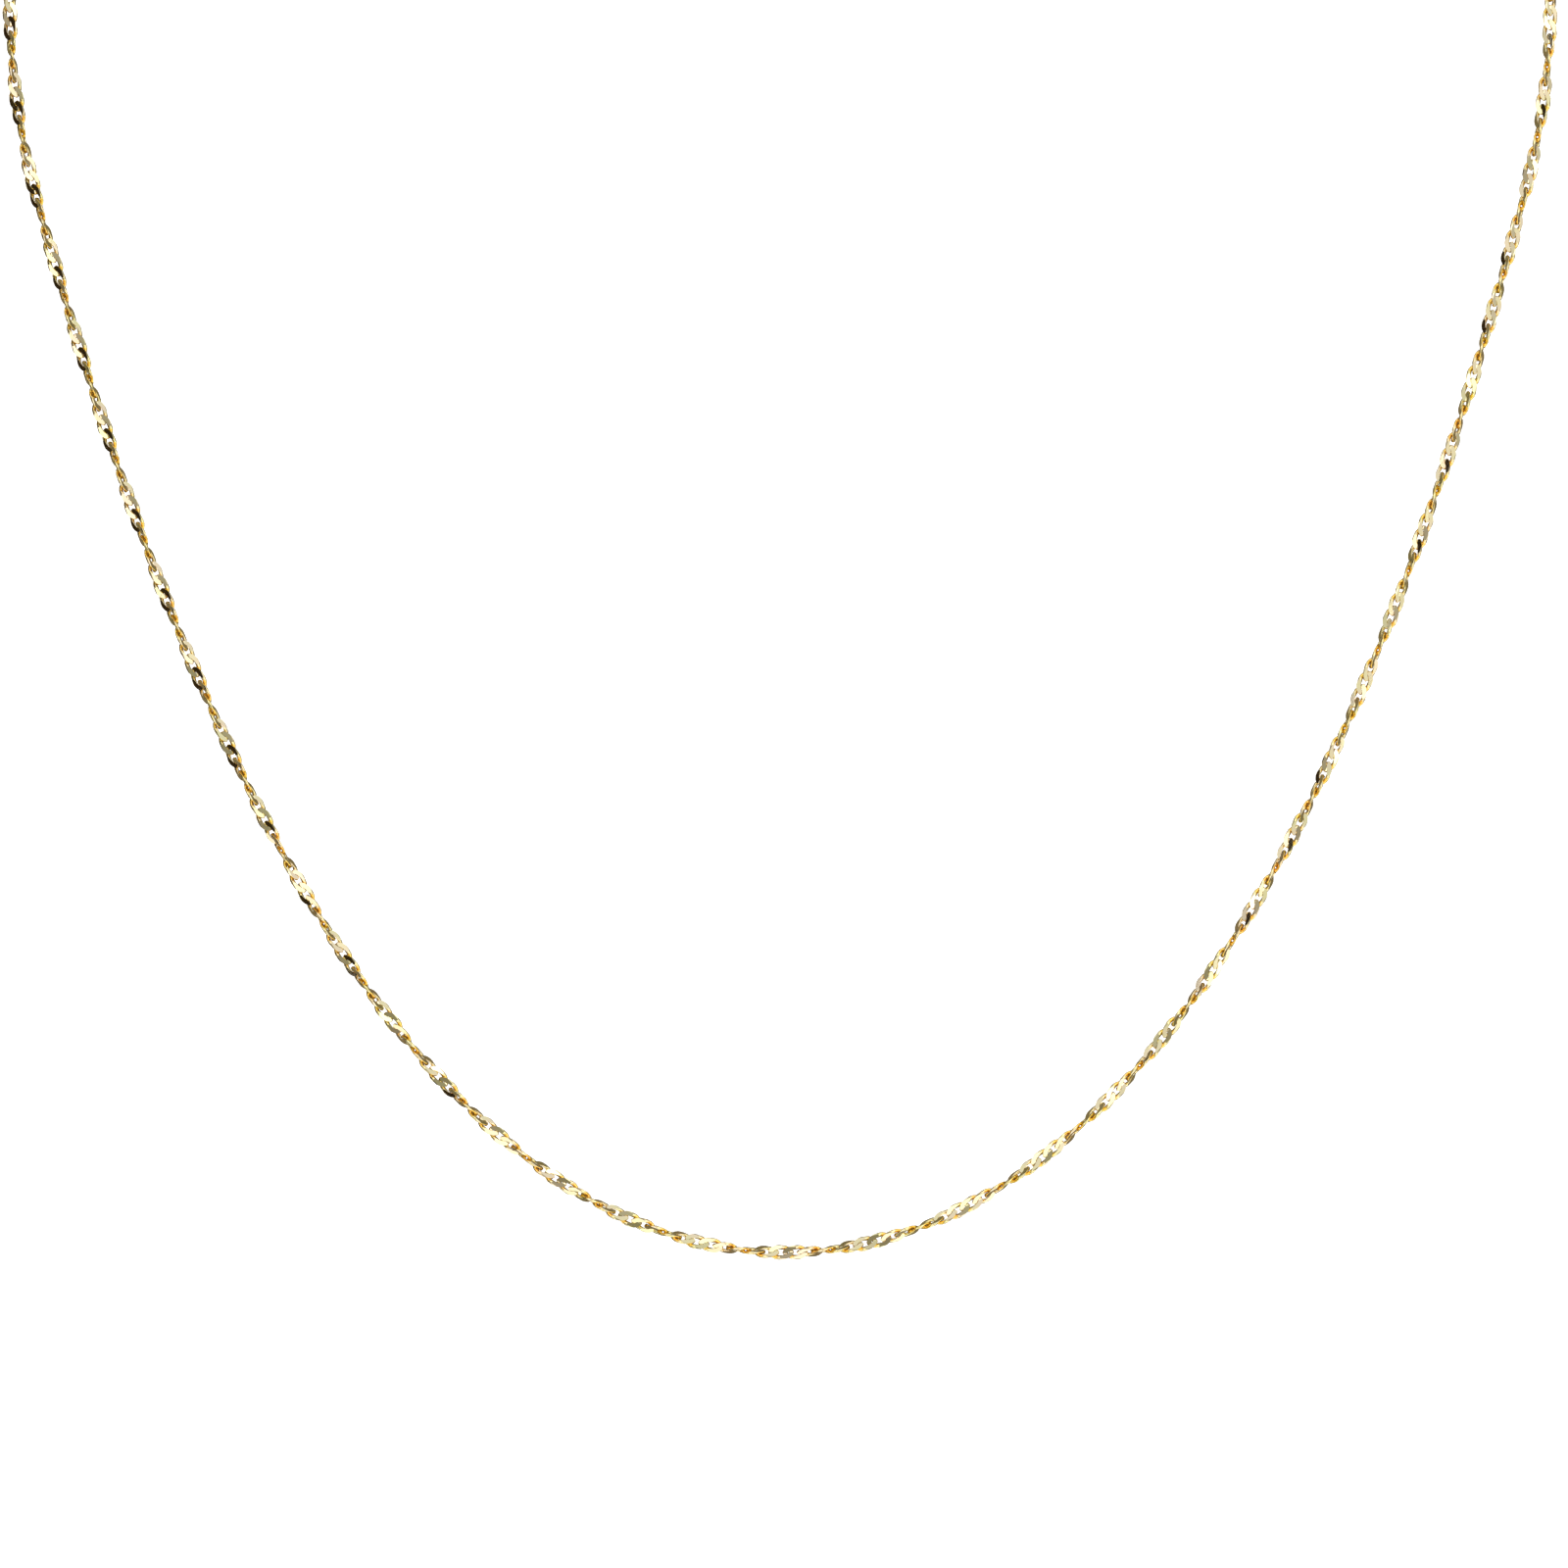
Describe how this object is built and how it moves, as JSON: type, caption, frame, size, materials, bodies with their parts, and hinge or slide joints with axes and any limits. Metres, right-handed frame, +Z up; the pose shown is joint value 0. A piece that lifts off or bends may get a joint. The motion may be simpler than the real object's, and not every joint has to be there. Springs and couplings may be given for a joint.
{
  "type": "singapore chain necklace",
  "caption": "Fine twisted gold chain in one closed loop for a neck, hanging in a curve at the front and closed by a spring ring clasp at the nape.",
  "frame": {"origin": "where the clasp's inner side rests on the nape, at the middle of the loop's back", "axes": "+Z up, +X to the right as seen from the front, and the front of the necklace faces -Y"},
  "size_m": [0.1276, 0.1072, 0.1233],
  "materials": {
    "chain_gold": "yellow gold wire links, polished, with bright diamond-cut flats on both faces",
    "clasp_gold": "yellow gold, polished"
  },
  "bodies": {
    "root": {"chain_left": "chain_gold", "chain_right": "chain_gold", "clasp": "clasp_gold", "clasp_jump_ring": "clasp_gold", "end_jump_ring": "clasp_gold"}
  },
  "joints": []
}
